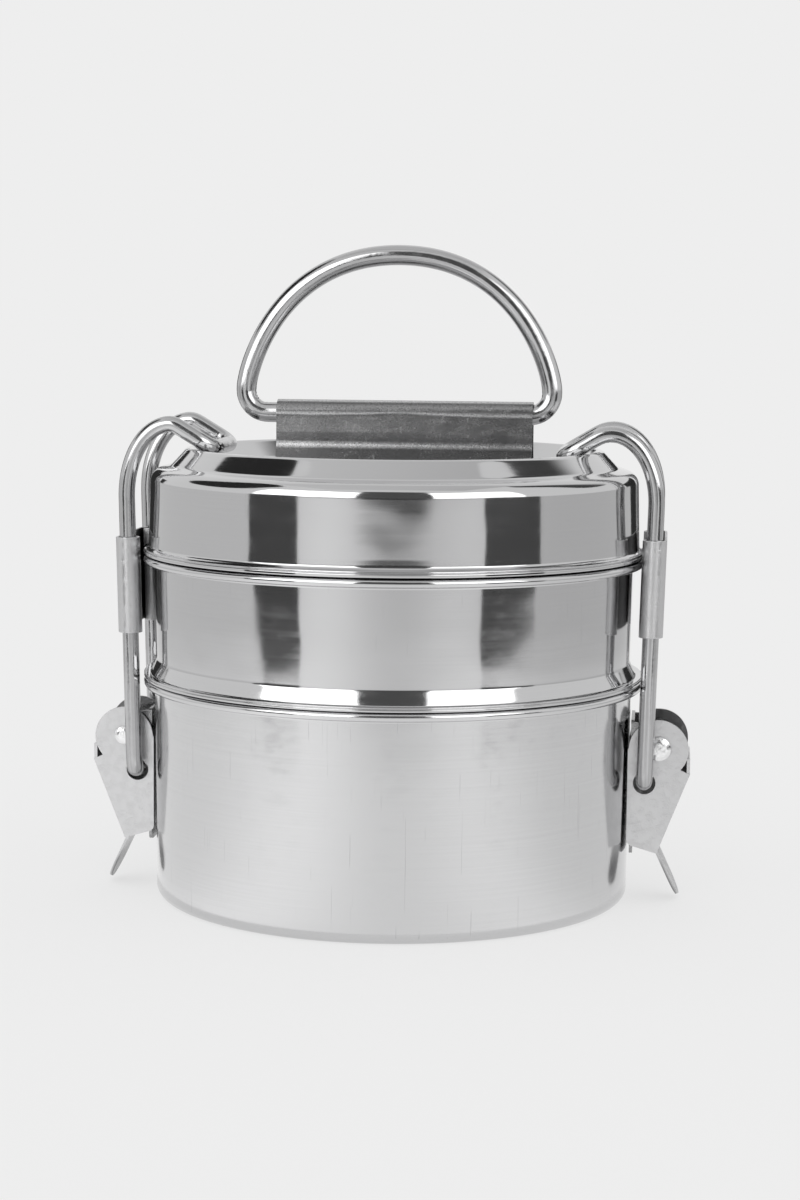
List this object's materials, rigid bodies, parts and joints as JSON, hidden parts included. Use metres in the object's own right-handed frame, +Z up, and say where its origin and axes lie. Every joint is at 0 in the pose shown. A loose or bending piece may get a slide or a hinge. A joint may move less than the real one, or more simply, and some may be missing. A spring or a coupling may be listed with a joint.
{
  "type": "tiffin carrier",
  "caption": "Stacked steel lunch carrier: deep and shallow round containers under a stepped lid, a folding D wire handle and an over-centre toggle clip on each side.",
  "frame": {"origin": "centre of the flat base where the carrier stands", "axes": "+Z up through the stack, X through both toggle clips and along the handle, Y the way the handle folds"},
  "size_m": [0.1672, 0.14, 0.1814],
  "materials": {
    "container_steel": "satin stainless steel, faintly lined round the wall",
    "polished_steel": "polished stainless steel",
    "dull_steel": "dull, scratched stainless steel sheet",
    "wire_steel": "drawn stainless wire, half polished",
    "satin_steel": "matt pressed stainless sheet"
  },
  "bodies": {
    "base": {"bottom_container": "container_steel", "left_latch_bracket": "dull_steel", "right_latch_bracket": "dull_steel", "left_latch_rivet": "wire_steel", "right_latch_rivet": "wire_steel"},
    "upper_tier": {"upper_container": "polished_steel"},
    "cover": {"lid": "polished_steel", "handle_bracket": "dull_steel"},
    "handle": {"carry_handle": "wire_steel"},
    "left_lever": {"left_latch_lever": "satin_steel"},
    "left_bail": {"left_bail_wire": "wire_steel", "left_bail_plate": "satin_steel"},
    "right_lever": {"right_latch_lever": "satin_steel"},
    "right_bail": {"right_bail_wire": "wire_steel", "right_bail_plate": "satin_steel"}
  },
  "joints": [
    {"name": "left_lever_hinge", "type": "hinge", "parent": "base", "child": "left_lever", "pos_m": [-0.075, 0, 0.044], "axis": [0, 1, 0], "range_deg": [0, 110]},
    {"name": "right_lever_hinge", "type": "hinge", "parent": "base", "child": "right_lever", "pos_m": [0.075, 0, 0.044], "axis": [0, -1, 0], "range_deg": [0, 110]},
    {"name": "left_bail_hinge", "type": "hinge", "parent": "left_lever", "child": "left_bail", "pos_m": [-0.0711, 0, 0.0347], "axis": [0, -1, 0], "range_deg": [0, 210]},
    {"name": "right_bail_hinge", "type": "hinge", "parent": "right_lever", "child": "right_bail", "pos_m": [0.0711, 0, 0.0347], "axis": [0, 1, 0], "range_deg": [0, 210]},
    {"name": "upper_container_lift", "type": "slide", "parent": "base", "child": "upper_tier", "axis": [0, 0, 1], "range_m": [0, 0.012]},
    {"name": "lid_lift", "type": "slide", "parent": "upper_tier", "child": "cover", "axis": [0, 0, 1], "range_m": [0, 0.015]},
    {"name": "handle_hinge", "type": "hinge", "parent": "cover", "child": "handle", "pos_m": [0.0008, 0, 0.1348], "axis": [1, 0, 0], "range_deg": [-98, 98]}
  ],
  "couplings": [
    {"joint": "lid_lift", "follows": "upper_container_lift", "ratio": 1.248},
    {"joint": "left_lever_hinge", "follows": "upper_container_lift", "rad_per_m": 159.98},
    {"joint": "right_lever_hinge", "follows": "upper_container_lift", "rad_per_m": 159.98},
    {"joint": "left_bail_hinge", "follows": "upper_container_lift", "rad_per_m": 305.4},
    {"joint": "right_bail_hinge", "follows": "upper_container_lift", "rad_per_m": 305.4}
  ]
}
